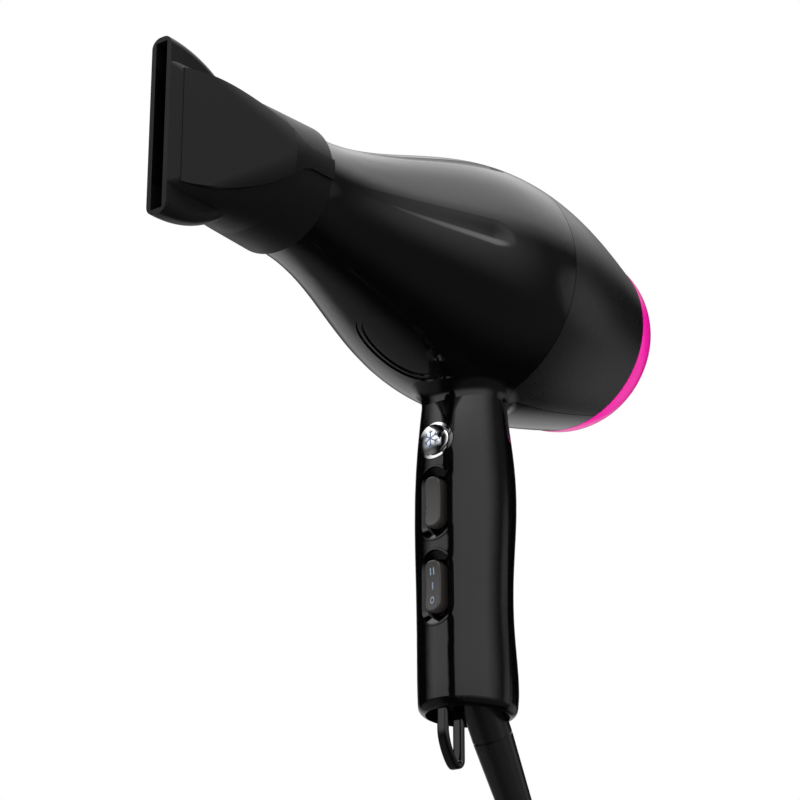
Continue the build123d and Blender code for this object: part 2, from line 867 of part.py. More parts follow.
with BuildPart() as intake_grille:
    with BuildSketch(across(rebate_front + snug)):
        Circle(grille_radius)
        Circle(ring_lip_radius - grille_rib, mode=Mode.SUBTRACT)
        for share in (0.75, 0.5):
            Circle(grille_radius * share)
            Circle(grille_radius * share - grille_rib, mode=Mode.SUBTRACT)
        Circle(grille_hub_radius)
        with PolarLocations(grille_radius / 2, grille_spokes):
            Rectangle(grille_radius - 2 * grille_rib, grille_rib)
    extrude(amount=grille_thickness)
save(intake_grille, "intake_grille")

with BuildPart() as filter_mesh:
    with BuildSketch(across(rebate_front - snug)):
        Circle(collar_bore - snug)
        mesh_count = 2 * int(ring_lip_radius / mesh_pitch) + 1
        for place in GridLocations(mesh_pitch, mesh_pitch, mesh_count, mesh_count):
            if place.position.length < ring_lip_radius - mesh_hole / 2:
                with Locations(place):
                    Rectangle(mesh_hole, mesh_hole, mode=Mode.SUBTRACT)
    extrude(amount=-mesh_thickness)
save(filter_mesh, "filter_mesh")


# Switches on the handle: trays, rockers and the switch bodies behind them
tilt = radians(rocker_tilt)
swing = rocker_half_length * cos(tilt) + (rocker_pivot_x - rocker_root_x) * sin(tilt)
window_half_length = swing + 2 * slip
window_half_width = rocker_half_width + 2 * slip


def tray_section(x, level, length, width):
    with BuildSketch(facing(x)) as section:
        with Locations((0, level)):
            SlotOverall(length, width, rotation=90)
    return section.sketch


def switch_tray(level):
    # Sloping dish round a slot-shaped well, let into the front of the handle
    well_length = 2 * window_half_length
    well_width = 2 * window_half_width
    spread = 2 * swell_depth / tan(radians(dish_slope))
    dish_x = front_x + dish_depth
    with BuildPart() as dish:
        loft([
            tray_section(dish_x, level, well_length, well_width),
            tray_section(dish_x - swell_depth, level, well_length + spread, well_width + spread),
        ])
        extrude(
            tray_section(dish_x, level, tray_length - 2 * tray_wall, tray_width - 2 * tray_wall),
            amount=swell_depth,
            mode=Mode.INTERSECT,
        )
    with BuildPart() as tray:
        extrude(tray_section(tray_back_x, level, tray_length, tray_width), amount=swell_depth)
        add(dish.part, mode=Mode.SUBTRACT)
        extrude(
            tray_section(tray_back_x, level, well_length, well_width),
            amount=swell_depth,
            mode=Mode.SUBTRACT,
        )
        loft(handle_sections(tray_lip), mode=Mode.INTERSECT)
    return tray


def switch_rocker(level):
    with BuildPart() as rocker:
        with BuildSketch(side_plane):
            with BuildLine():
                ThreePointArc(
                    (rocker_front_x, level - rocker_half_length),
                    (rocker_front_x + rocker_dish, level),
                    (rocker_front_x, level + rocker_half_length),
                )
                Polyline(
                    (rocker_front_x, level + rocker_half_length),
                    (rocker_root_x, level + rocker_half_length),
                    (rocker_pivot_x, level + rocker_hub),
                    (rocker_pivot_x + pin_radius, level + rocker_hub),
                    (rocker_pivot_x + pin_radius, level - rocker_hub),
                    (rocker_pivot_x, level - rocker_hub),
                    (rocker_root_x, level - rocker_half_length),
                    (rocker_front_x, level - rocker_half_length),
                )
            make_face()
        extrude(amount=rocker_half_width, both=True)
        with BuildSketch(facing(0)):
            with Locations((0, level)):
                RectangleRounded(2 * rocker_half_width, 2 * rocker_half_length, rocker_corner)
        extrude(amount=swell_depth, mode=Mode.INTERSECT)
        fillet(rocker.faces().filter_by(GeomType.CYLINDER).sort_by(Axis.X)[0].edges(), rocker_edge)
        with BuildSketch(side_plane):
            with Locations((rocker_pivot_x, level)):
                Circle(pin_radius)
        extrude(amount=pin_half_length, both=True)
    return rocker


def switch_body(level):
    with BuildPart() as body:
        slab(
            (switch_front_x, switch_front_x + switch_depth),
            (-switch_half_width, switch_half_width),
            (level - switch_half_length, level + switch_half_length),
            Mode.ADD,
        )
        cheek_inner = rocker_half_width + slip
        cheek_half_height = 2 * cheek
        for side in (-1, 1):
            slab(
                (tray_back_x, switch_front_x),
                sorted((side * cheek_inner, side * (cheek_inner + cheek))),
                (level - cheek_half_height, level + cheek_half_height),
                Mode.ADD,
            )
        with BuildSketch(side_plane):
            with Locations((rocker_pivot_x, level)):
                Circle(pin_radius + running_fit)
        extrude(amount=switch_half_width, both=True, mode=Mode.SUBTRACT)
    return body


for use, level in (("heat", heat_z), ("speed", speed_z)):
    save(switch_tray(level), f"{use}_bezel")
    save(switch_rocker(level), f"{use}_rocker")
    save(switch_body(level), f"{use}_switch")

# Cool button, sliding in its round bezel against a small switch
bezel_floor_front = bezel_back_x - bezel_floor
with BuildPart() as cool_bezel:
    with BuildSketch(facing(bezel_back_x)):
        with Locations((0, cool_z)):
            Circle(bezel_radius)
    extrude(amount=swell_depth)
    with BuildSketch(facing(bezel_floor_front)):
        with Locations((0, cool_z)):
            Circle(bezel_radius - bezel_wall)
    extrude(amount=swell_depth, mode=Mode.SUBTRACT)
    with BuildSketch(facing(bezel_back_x)):
        with Locations((0, cool_z)):
            Circle(stem_radius + slip)
    extrude(amount=bezel_floor, mode=Mode.SUBTRACT)
    loft(handle_sections(tray_lip), mode=Mode.INTERSECT)
save(cool_bezel, "cool_bezel")

button_radius = bezel_radius - bezel_wall - slip
button_back_x = bezel_floor_front - button_travel - slip
with BuildPart() as cool_button:
    with BuildSketch(side_plane):
        with BuildLine():
            ThreePointArc(
                (button_front_x, cool_z),
                (button_front_x + button_dome / 4, cool_z + button_radius / 2),
                (button_front_x + button_dome, cool_z + button_radius),
            )
            Polyline(
                (button_front_x + button_dome, cool_z + button_radius),
                (button_back_x, cool_z + button_radius),
                (button_back_x, cool_z + stem_radius),
                (micro_front_x - button_travel - slip, cool_z + stem_radius),
                (micro_front_x - button_travel - slip, cool_z),
                (button_front_x, cool_z),
            )
        make_face()
    revolve(axis=Axis((0, 0, cool_z), (1, 0, 0)))
save(cool_button, "cool_button")

with BuildPart() as cool_switch:
    slab(
        (micro_front_x, switch_front_x + switch_depth),
        (-micro_half_width, micro_half_width),
        (cool_z - micro_half_length, cool_z + micro_half_length),
        Mode.ADD,
    )
    for side in (-1, 1):
        slab(
            (bezel_back_x, micro_front_x),
            sorted((side * (micro_half_width - arm), side * micro_half_width)),
            (cool_z - 2 * arm, cool_z + 2 * arm),
            Mode.ADD,
        )
save(cool_switch, "cool_switch")

# Ion generator and terminal block on the ribs of the handle's back
with BuildPart() as ion_module:
    slab((ion_back_x - ion_depth, ion_back_x), ion_span, (ion_low_z, ion_high_z), Mode.ADD)
    fillet(ion_module.edges().filter_by(Axis.Z), rib)
save(ion_module, "ion_module")

with BuildPart() as terminal_block:
    terminal_high_z = terminal_low_z + terminal_length
    slab((ion_back_x - ion_depth, ion_back_x), terminal_span, (terminal_low_z, terminal_high_z), Mode.ADD)
    with BuildSketch(Plane.XY.offset(terminal_low_z)):
        with Locations((ion_back_x - ion_depth / 2, 0)):
            with GridLocations(1, terminal_half_width, 1, 2):
                Circle(terminal_hole_radius)
    extrude(amount=terminal_length, mode=Mode.SUBTRACT)
save(terminal_block, "terminal_block")

# Tapered strain relief
with BuildPart() as strain_relief:
    with BuildSketch(relief_plane):
        with BuildLine():
            Polyline(
                (-relief_stub - relief_collar, 0),
                (-relief_stub - relief_collar, relief_collar_radius),
                (-relief_stub, relief_collar_radius),
                (-relief_stub, relief_radius),
                (relief_groove_at, relief_radius),
                (relief_groove_at, relief_radius - relief_groove),
                (relief_groove_at + relief_groove, relief_radius - relief_groove),
                (relief_groove_at + relief_groove, relief_radius),
                (relief_length, relief_tip_radius),
                (relief_length, 0),
                (-relief_stub - relief_collar, 0),
            )
        make_face()
    revolve(axis=relief_axis)
    tip_rim = strain_relief.edges().filter_by(GeomType.CIRCLE).group_by(Axis.Z)[0]
    fillet(tip_rim, relief_tip_radius - cord_radius)
save(strain_relief, "strain_relief")

# Power cord: a lead from the strain relief, a tied coil and a tail to the plug
cord_diameter = 2 * cord_radius


def cord_tube(points):
    # Straight runs joined by arcs as large as the runs allow
    corners = [Vector(*point) for point in points]
    radii = []
    for before, corner, after in zip(corners, corners[1:], corners[2:]):
        turn = (corner - before).get_angle(after - corner)
        run = min((corner - before).length, (after - corner).length)
        radii.append(bend_share * run / tan(radians(turn) / 2))
    with BuildPart() as tube:
        with BuildLine() as route:
            FilletPolyline(*points, radius=radii)
        with BuildSketch(route.line ^ 0):
            Circle(cord_radius)
        sweep()
    length = route.wires()[0].length
    share = tube.part.volume / (pi * cord_radius**2 * length)
    print("cord radii", [round(radius, 1) for radius in radii], "length", round(length, 1))
    print("cord volume over section times length", round(share, 4))
    return tube


relief_tip = relief_exit + relief_way * relief_length
coil_entry = Vector(91.2, 0, -205.2)
coil_way = Vector(sqrt(0.5), 0, -sqrt(0.5))
lead_end = coil_entry - coil_way * cord_diameter
lead_route = [
    relief_tip,
    relief_tip + relief_way * lead_run,
    (60.0, 0, -158.0),
    (70.0, 0, -184.0),
    lead_end,
]
save(cord_tube(lead_route), "cord_lead")

# Coil of two layers: it spirals in and out, and climbs in the half turn where it reverses
coil_step = cord_diameter + cord_gap
coil_middle = coil_entry - Vector(1, 0, 1) * (coil_outer_radius * sqrt(0.5))


def coil_radius(quarter):
    return coil_outer_radius - (coil_quarters - abs(quarter - coil_quarters)) * coil_step / 4


def coil_point(quarter):
    # Place after a number of quarter turns, clockwise from the entry
    climb = min(max((quarter - coil_quarters + 1) / 2, 0), 1)
    turn = radians(45 + 90 * quarter)
    out = Vector(sin(turn), 0, cos(turn)) * coil_radius(quarter)
    return coil_middle + out + Vector(0, climb * coil_step, 0)


def coil_heading(quarter):
    turn = radians(45 + 90 * quarter)
    return Vector(cos(turn), 0, -sin(turn))


def biarc_joint(start, start_way, end, end_way):
    # Where two arcs that keep both headings meet
    chord = end - start
    ways = start_way + end_way
    bend = 1 - start_way.dot(end_way)
    along = chord.dot(ways)
    handle = (sqrt(along**2 + 2 * bend * chord.dot(chord)) - along) / (2 * bend)
    return (start + start_way * handle + end - end_way * handle) / 2


coil_exit = coil_point(2 * coil_quarters)
with BuildPart() as cord_coil:
    with BuildLine() as coil_path:
        Line(lead_end, coil_entry)
        for quarter in range(2 * coil_quarters):
            start = coil_point(quarter)
            end = coil_point(quarter + 1)
            joint = biarc_joint(start, coil_heading(quarter), end, coil_heading(quarter + 1))
            first_arc = TangentArc(start, joint, tangent=coil_heading(quarter))
            TangentArc(joint, end, tangent=first_arc % 1)
        Line(coil_exit, coil_exit + coil_way * cord_diameter)
    with BuildSketch(coil_path.line ^ 0):
        Circle(cord_radius)
    sweep()
coil_length = coil_path.wires()[0].length
coil_share = cord_coil.part.volume / (pi * cord_radius**2 * coil_length)
print("coil length", round(coil_length, 1), "volume over section times length", round(coil_share, 4))

sample_count = 1200
samples = [coil_path.wires()[0] @ (step / sample_count) for step in range(sample_count + 1)]
neighbours = int(6 * cord_diameter * sample_count / coil_length)
coil_gap = min(
    (there - here).length
    for index, here in enumerate(samples)
    for there in samples[index + neighbours:]
)
print("least gap between turns", round(coil_gap - cord_diameter, 2))
save(cord_coil, "cord_coil")

tail_start = coil_exit + coil_way * cord_diameter
plug_way = Vector(0, 0, -1)
tail_middle = tail_start + coil_way * tail_run
tail_bend = tail_middle + (coil_way + plug_way).normalized() * tail_run
plug_top = tail_bend + plug_way * tail_run
save(cord_tube([tail_start, tail_middle, tail_bend, plug_top]), "cord_tail")

# Tie round all the turns at the top of the coil
tie_low = coil_radius(coil_quarters - 0.5) - cord_radius - cord_gap / 2
tie_high = coil_radius(2 * coil_quarters - 0.5) + cord_radius + cord_gap / 2
tie_near = -cord_radius - cord_gap / 2
tie_far = coil_step + cord_radius + cord_gap / 2
with BuildPart() as cord_tie:
    tie_plane = Plane(origin=coil_middle, x_dir=(0, 1, 0), z_dir=(1, 0, 0))
    with BuildSketch(tie_plane):
        with Locations(((tie_near + tie_far) / 2, (tie_low + tie_high) / 2)):
            RectangleRounded(
                tie_far - tie_near + 2 * tie_thickness,
                tie_high - tie_low + 2 * tie_thickness,
                2 * tie_thickness,
            )
            RectangleRounded(tie_far - tie_near, tie_high - tie_low, tie_thickness, mode=Mode.SUBTRACT)
    extrude(amount=tie_width / 2, both=True)
save(cord_tie, "cord_tie")

# Plug with two round pins
plug_face = plug_top + plug_way * plug_length
plug_shoulder = plug_face - plug_way * plug_face_length
with BuildPart() as plug_body:
    with BuildSketch(Plane(origin=plug_top, x_dir=(0, 1, 0), z_dir=plug_way)):
        RectangleRounded(2 * plug_neck_radius, 2 * plug_neck_radius, plug_neck_radius * round_share)
    with BuildSketch(Plane(origin=plug_shoulder, x_dir=(0, 1, 0), z_dir=plug_way)):
        RectangleRounded(plug_face_width, plug_face_thickness, plug_face_corner)
    loft()
    with BuildSketch(Plane(origin=plug_face, x_dir=(0, 1, 0), z_dir=plug_way)):
        RectangleRounded(plug_face_width, plug_face_thickness, plug_face_corner)
    extrude(amount=-plug_face_length)
save(plug_body, "plug_body")

with BuildPart() as plug_pins:
    with BuildSketch(Plane(origin=plug_face, x_dir=(0, 1, 0), z_dir=plug_way)):
        with GridLocations(prong_spacing, 1, 2, 1):
            Circle(prong_radius)
    extrude(amount=prong_length)
    fillet(plug_pins.edges().group_by(Axis.Z)[0], prong_radius / 2)
save(plug_pins, "plug_pins")
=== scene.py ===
import bpy
import json
from math import cos, pi, radians, sin, sqrt
from mathutils import Matrix, Vector


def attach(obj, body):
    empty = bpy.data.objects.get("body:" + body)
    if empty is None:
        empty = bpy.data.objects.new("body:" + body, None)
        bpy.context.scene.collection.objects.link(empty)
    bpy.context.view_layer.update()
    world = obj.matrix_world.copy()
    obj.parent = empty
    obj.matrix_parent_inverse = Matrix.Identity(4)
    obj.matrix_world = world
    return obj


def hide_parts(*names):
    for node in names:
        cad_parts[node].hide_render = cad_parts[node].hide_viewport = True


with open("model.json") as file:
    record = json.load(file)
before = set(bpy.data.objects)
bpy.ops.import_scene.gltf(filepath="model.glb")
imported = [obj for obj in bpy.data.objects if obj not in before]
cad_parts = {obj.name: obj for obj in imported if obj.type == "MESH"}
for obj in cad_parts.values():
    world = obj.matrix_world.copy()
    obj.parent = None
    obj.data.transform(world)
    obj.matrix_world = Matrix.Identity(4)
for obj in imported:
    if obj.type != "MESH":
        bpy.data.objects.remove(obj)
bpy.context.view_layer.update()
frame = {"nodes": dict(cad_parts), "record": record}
nodes = frame["nodes"]
print("frame loaded:", len(nodes), "nodes")


def deselectAll():
    bpy.ops.object.select_all(action="DESELECT")


def makeActive(piece):
    deselectAll()
    piece.select_set(True)
    bpy.context.view_layer.objects.active = piece
    return piece


def clearPicks(mesh):
    for part in (mesh.vertices, mesh.edges, mesh.polygons):
        part.foreach_set("select", [False] * len(part))


mergeGap = 0.000001    # points closer than this are one


# Materials, procedural and on Object coordinates

surface = {
    "noiseLow": 0.3,
    "noiseHigh": 0.7,
    "driftScale": 60,      # slow change of roughness over moulded plastic
    "brushScale": 400,
    "grainDetail": 2,
    "grainDepth": 0.0002,
}


def baseMaterial(name, colour, roughness, metallic=0.0, specular=0.5):
    material = bpy.data.materials.new(name)
    material.use_nodes = True
    shader = material.node_tree.nodes["Principled BSDF"]
    shader.inputs["Base Color"].default_value = (*colour, 1)
    shader.inputs["Roughness"].default_value = roughness
    shader.inputs["Metallic"].default_value = metallic
    shader.inputs["Specular IOR Level"].default_value = specular
    return material, shader


def objectNoise(material, scale, detail=4.0):
    tree = material.node_tree
    place = tree.nodes.new("ShaderNodeTexCoord")
    noise = tree.nodes.new("ShaderNodeTexNoise")
    noise.inputs["Scale"].default_value = scale
    noise.inputs["Detail"].default_value = detail
    tree.links.new(place.outputs["Object"], noise.inputs["Vector"])
    return noise


def spreadInto(material, noise, low, high, socket):
    tree = material.node_tree
    spread = tree.nodes.new("ShaderNodeMapRange")
    spread.inputs["From Min"].default_value = surface["noiseLow"]
    spread.inputs["From Max"].default_value = surface["noiseHigh"]
    spread.inputs["To Min"].default_value = low
    spread.inputs["To Max"].default_value = high
    tree.links.new(noise.outputs["Fac"], spread.inputs["Value"])
    tree.links.new(spread.outputs["Result"], socket)


def bumpFrom(material, shader, noise, strength, distance):
    tree = material.node_tree
    bump = tree.nodes.new("ShaderNodeBump")
    bump.inputs["Strength"].default_value = strength
    bump.inputs["Distance"].default_value = distance
    tree.links.new(noise.outputs["Fac"], bump.inputs["Height"])
    tree.links.new(bump.outputs["Normal"], shader.inputs["Normal"])


def mouldedPlastic(name, colour, low, high, grain, bump, specular=0.5):
    # Roughness drifts slowly over the surface, with a fine moulded grain
    material, shader = baseMaterial(name, colour, low, specular=specular)
    drift = objectNoise(material, surface["driftScale"])
    spreadInto(material, drift, low, high, shader.inputs["Roughness"])
    fine = objectNoise(material, grain, surface["grainDetail"])
    bumpFrom(material, shader, fine, bump, surface["grainDepth"])
    return material


def brushedMetal(name, colour, low, high):
    material, shader = baseMaterial(name, colour, low, metallic=1.0)
    brushing = objectNoise(material, surface["brushScale"])
    spreadInto(material, brushing, low, high, shader.inputs["Roughness"])
    return material


# One finish for each material slot: colour, lowest and highest roughness, grain size, grain strength
finishes = {
    "gloss_black": mouldedPlastic("glossBlack", (0.0012, 0.0012, 0.0014), 0.05, 0.08, 900, 0.004),
    "satin_black": mouldedPlastic("satinBlack", (0.006, 0.006, 0.0065), 0.24, 0.30, 1500, 0.04),
    "nozzle_black": mouldedPlastic("nozzleBlack", (0.0045, 0.0045, 0.0048), 0.34, 0.42, 2200, 0.06, 0.15),
    "magenta": mouldedPlastic("magentaGloss", (0.93, 0.012, 0.40), 0.14, 0.20, 900, 0.01),
    "chrome": brushedMetal("buttonChrome", (0.86, 0.86, 0.88), 0.05, 0.09),
    "rocker_grey": mouldedPlastic("rockerGrey", (0.030, 0.026, 0.025), 0.26, 0.34, 1800, 0.04),
    "grille_black": mouldedPlastic("grilleBlack", (0.008, 0.008, 0.008), 0.40, 0.48, 1500, 0.06),
    "mica": mouldedPlastic("micaBoard", (0.50, 0.43, 0.31), 0.42, 0.55, 700, 0.15),
    "heating_alloy": brushedMetal("heatingAlloy", (0.45, 0.42, 0.39), 0.30, 0.42),
    "steel": brushedMetal("platedSteel", (0.55, 0.55, 0.57), 0.22, 0.34),
    "bronze": brushedMetal("sinteredBronze", (0.50, 0.34, 0.16), 0.38, 0.50),
    "fan_white": mouldedPlastic("fanWhite", (0.62, 0.62, 0.60), 0.36, 0.44, 1500, 0.04),
    "switch_black": mouldedPlastic("switchBlack", (0.014, 0.014, 0.014), 0.36, 0.46, 1500, 0.06),
    "terminal_white": mouldedPlastic("terminalWhite", (0.66, 0.66, 0.62), 0.34, 0.42, 1500, 0.04),
    "cord_black": mouldedPlastic("cordBlack", (0.006, 0.006, 0.0065), 0.22, 0.30, 1600, 0.04),
    "pin_metal": brushedMetal("pinMetal", (0.72, 0.70, 0.64), 0.16, 0.24),
}
slotOf = {part["node"]: part["material_slot"] for part in frame["record"]["subparts"]}


def paint(piece, slot):
    piece.data.materials.clear()
    piece.data.materials.append(finishes[slot])
    return piece


for name, node in nodes.items():
    for place in node.material_slots:
        place.material = finishes[slotOf[name]]
print("materials:", len(finishes))


# Front housing with a long groove pressed into each side of the barrel, deepest near its round rear end

groove = {
    "front": -0.096,
    "rear": -0.035,
    "axisHeight": 0.110,
    "droop": 0.0524,       # its line falls this much below the axis for each step out from it
    "above": 0.0066,       # half width above the line, at the rear
    "belowShare": 0.62,    # half width below it, as a share of that
    "endLength": 0.010,
    "depth": 0.0013,
    "deepening": 1.4,      # how late the groove gets deep
    "tipShare": 0.0001,
    "margin": 0.002,       # the finer mesh reaches this far past the groove
    "meshStep": 0.0008,
    "rounds": 8,
    "search": 0.025,       # only faces this near the axis's height are looked at
    "sliver": 0.00025,     # points of the wall closer than this are merged
    "needle": 0.0000625,
    "probe": 0.0001,       # step for measuring the groove's slope
}


def grooveRise(point):
    return point.z - groove["axisHeight"] + abs(point.y) * groove["droop"]


def grooveShare(point):
    # Depth of the groove at a point of the barrel, as a share of its deepest
    along = min(max((point.x - groove["front"]) / (groove["rear"] - groove["front"]), 0), 1)
    rise = grooveRise(point)
    halfWidth = groove["above"] * sqrt(max(along, groove["tipShare"]))
    aside = max(rise, -rise / groove["belowShare"]) / halfWidth
    past = min(max((point.x - groove["rear"]) / groove["endLength"], 0), 1)
    near = max(1 - sqrt(aside * aside + past * past), 0)
    return near * near * (3 - 2 * near) * along ** groove["deepening"]


def pressedNormal(point, normal):
    # Which way the wall faces once the groove is pressed into it
    step = groove["probe"]
    slope = Vector()
    for axis in range(3):
        way = Vector()
        way[axis] = step
        slope[axis] = (grooveShare(point + way) - grooveShare(point - way)) / (2 * step)
    slope -= normal * slope.dot(normal)
    return (normal + slope * groove["depth"]).normalized()


def crossesGroove(corners):
    places = [corner.x for corner in corners]
    rises = [grooveRise(corner) for corner in corners]
    margin = groove["margin"]
    front = groove["front"] - margin
    rear = groove["rear"] + groove["endLength"] + margin
    low = -groove["above"] * groove["belowShare"] - margin
    high = groove["above"] + margin
    return max(places) > front and min(places) < rear and max(rises) > low and min(rises) < high


def wallFaces(mesh):
    # Faces of the outer wall that the groove crosses, known by the solid's own normals
    found = []
    facing = mesh.attributes["solidNormal"].data
    for face in mesh.polygons:
        middle = face.center
        outward = facing[face.loop_start].vector.y * middle.y > 0
        if outward and abs(middle.z - groove["axisHeight"]) < groove["search"]:
            if crossesGroove([mesh.vertices[index].co for index in face.vertices]):
                found.append(face)
    return found


def refineWall(mesh):
    # Splits the wall's long edges until the mesh is fine enough for the groove
    for count in range(groove["rounds"]):
        keys = {key for face in wallFaces(mesh) for key in face.edge_keys}
        clearPicks(mesh)
        picked = 0
        for edge in mesh.edges:
            if edge.key in keys:
                ends = [mesh.vertices[index].co for index in edge.vertices]
                if (ends[0] - ends[1]).length > groove["meshStep"] and crossesGroove(ends):
                    edge.select = True
                    picked += 1
        if not picked:
            break
        bpy.ops.object.mode_set(mode="EDIT")
        bpy.ops.mesh.select_mode(type="EDGE")
        bpy.ops.mesh.subdivide(number_cuts=1)
        bpy.ops.mesh.select_all(action="SELECT")
        bpy.ops.mesh.quads_convert_to_tris()
        bpy.ops.object.mode_set(mode="OBJECT")


def mergeWall(mesh):
    # Merges the needles that the splitting leaves
    clearPicks(mesh)
    for face in wallFaces(mesh):
        for index in face.vertices:
            mesh.vertices[index].select = True
    bpy.ops.object.mode_set(mode="EDIT")
    bpy.ops.mesh.select_mode(type="VERT")
    bpy.ops.mesh.remove_doubles(threshold=groove["sliver"])
    bpy.ops.mesh.dissolve_degenerate(threshold=groove["needle"])
    bpy.ops.object.mode_set(mode="OBJECT")


def pressGroove(shell):
    mesh = shell.data
    normals = [Vector(corner.vector).normalized() for corner in mesh.attributes["solidNormal"].data]
    mesh.normals_split_custom_set(normals)
    wall = wallFaces(mesh)
    mesh.attributes.remove(mesh.attributes["solidNormal"])
    facing = {index: Vector() for face in wall for index in face.vertices}
    for face in wall:
        for corner, index in zip(face.loop_indices, face.vertices):
            facing[index] += normals[corner]
    pressed = shell.vertex_groups.new(name="pressed")
    for index in facing:
        point = mesh.vertices[index].co
        pressed.add([index], grooveShare(point), "REPLACE")
        facing[index] = pressedNormal(point, facing[index].normalized())
    for face in wall:
        for corner, index in zip(face.loop_indices, face.vertices):
            normals[corner] = facing[index]
    press = shell.modifiers.new("pressIn", "DISPLACE")
    press.vertex_group = pressed.name
    press.direction = "CUSTOM_NORMAL"
    press.mid_level = 0.0
    press.strength = -groove["depth"]
    bpy.ops.object.modifier_apply(modifier=press.name)
    mesh.normals_split_custom_set(normals)


def makeBarrelShell():
    mesh = nodes["front_housing"].data.copy()
    shell = bpy.data.objects.new("barrelShell", mesh)
    bpy.context.scene.collection.objects.link(shell)
    makeActive(shell)
    # The solid's own normals stay on the corners while its faces are merged and split
    corners = [0.0] * (3 * len(mesh.loops))
    mesh.corner_normals.foreach_get("vector", corners)
    mesh.attributes.new("solidNormal", "FLOAT_VECTOR", "CORNER").data.foreach_set("vector", corners)
    bpy.ops.object.mode_set(mode="EDIT")
    bpy.ops.mesh.select_all(action="SELECT")
    bpy.ops.mesh.remove_doubles(threshold=mergeGap)
    bpy.ops.object.mode_set(mode="OBJECT")
    bpy.ops.mesh.customdata_custom_splitnormals_clear()
    bpy.ops.object.shade_smooth()
    refineWall(mesh)
    mergeWall(mesh)
    pressGroove(shell)
    paint(shell, slotOf["front_housing"])
    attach(shell, "dryer")
    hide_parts("front_housing")
    return shell


barrelShell = makeBarrelShell()
print("grooves pressed:", len(barrelShell.data.polygons), "faces")


# Printed marks on the speed rocker and the cool button

inks = {
    "paleBlue": mouldedPlastic("paleBlueInk", (0.19, 0.25, 0.33), 0.42, 0.52, 3000, 0.02),
    "slateBlue": mouldedPlastic("slateBlueInk", (0.10, 0.15, 0.27), 0.42, 0.52, 3000, 0.02),
}
speedMarks = {
    "middle": (-0.0260, 0.0, -0.0139),
    "barHeight": 0.0027,
    "barWidth": 0.00055,
    "pairGap": 0.0014,
    "step": 0.0054,
    "zeroSize": (0.0009, 0.0014),
    "zeroHole": 0.62,
    "lift": 0.00003,
    "thickness": 0.00005,
}
coolMark = {
    "middle": (-0.0260, 0.0, 0.0423),
    "arms": 6,
    "armLength": 0.0036,
    "armWidth": 0.00042,
    "branchLength": 0.0013,
    "branchAt": 0.0022,
    "branchTurn": 50.0,
    "lift": 0.00003,
    "thickness": 0.00005,
}
inkDetail = {"endShare": 0.45, "endSteps": 3, "ringSteps": 32, "cuts": 3}
upright = Matrix(((0, 0, -1), (-1, 0, 0), (0, 1, 0))).to_4x4()    # flat drawing stood up, facing forwards


def inkBar(width, length, spot, turn):
    # Flat bar with rounded ends, its foot at the spot, drawn on the ground before it is stood up
    deselectAll()
    bpy.ops.mesh.primitive_plane_add(size=1, location=(0, 0, 0))
    bar = bpy.context.object
    bpy.ops.object.mode_set(mode="EDIT")
    bpy.ops.mesh.select_all(action="SELECT")
    bpy.ops.transform.resize(value=(width, length, 1))
    rounding = width * inkDetail["endShare"]
    bpy.ops.mesh.bevel(offset=rounding, segments=inkDetail["endSteps"], affect="VERTICES")
    bpy.ops.transform.translate(value=(0, length / 2, 0))
    bpy.ops.object.mode_set(mode="OBJECT")
    bar.rotation_euler = (0, 0, turn)
    bar.location = (*spot, 0)
    return bar


def inkRing(radii, hole, spot):
    deselectAll()
    steps = inkDetail["ringSteps"]
    bpy.ops.mesh.primitive_circle_add(vertices=steps, radius=1, fill_type="NOTHING", location=(0, 0, 0))
    ring = bpy.context.object
    bpy.ops.object.mode_set(mode="EDIT")
    bpy.ops.mesh.select_all(action="SELECT")
    bpy.ops.transform.resize(value=(*radii, 1))
    bpy.ops.mesh.extrude_edges_indiv()
    bpy.ops.transform.resize(value=(hole, hole, 1))
    bpy.ops.mesh.select_all(action="SELECT")
    bpy.ops.mesh.normals_make_consistent(inside=False)
    bpy.ops.object.mode_set(mode="OBJECT")
    ring.location = (*spot, 0)
    return ring


def printOn(name, shapes, settings, body, ink):
    # Joins flat shapes, stands them up facing forwards and lays them on the body's own surface
    deselectAll()
    for shape in shapes:
        shape.select_set(True)
    bpy.context.view_layer.objects.active = shapes[0]
    bpy.ops.object.transform_apply(location=True, rotation=True, scale=True)
    bpy.ops.object.join()
    mark = bpy.context.object
    mark.name = name
    mark.matrix_world = Matrix.Translation(settings["middle"]) @ upright
    bpy.ops.object.transform_apply(location=True, rotation=True, scale=True)
    bpy.ops.object.mode_set(mode="EDIT")
    bpy.ops.mesh.select_all(action="SELECT")
    bpy.ops.mesh.quads_convert_to_tris()
    bpy.ops.mesh.subdivide(number_cuts=inkDetail["cuts"])
    bpy.ops.object.mode_set(mode="OBJECT")
    wrap = mark.modifiers.new("layOn", "SHRINKWRAP")
    wrap.target = nodes[body]
    wrap.wrap_method = "PROJECT"
    wrap.use_project_x = True
    wrap.use_positive_direction = True
    wrap.use_negative_direction = False
    wrap.offset = settings["lift"]
    bpy.ops.object.modifier_apply(modifier=wrap.name)
    layer = mark.modifiers.new("inkLayer", "SOLIDIFY")
    layer.thickness = settings["thickness"]
    layer.offset = 1.0
    bpy.ops.object.modifier_apply(modifier=layer.name)
    mark.data.materials.append(inks[ink])
    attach(mark, body)
    return mark


def makeSpeedMarks():
    low = -speedMarks["barHeight"] / 2
    bars = []
    for across in (-speedMarks["pairGap"] / 2, speedMarks["pairGap"] / 2):
        spot = (across, speedMarks["step"] + low)
        bars.append(inkBar(speedMarks["barWidth"], speedMarks["barHeight"], spot, 0))
    bars.append(inkBar(speedMarks["barWidth"], speedMarks["barHeight"], (0, low), 0))
    bars.append(inkRing(speedMarks["zeroSize"], speedMarks["zeroHole"], (0, -speedMarks["step"])))
    return printOn("speedMarks", bars, speedMarks, "speed_rocker", "paleBlue")


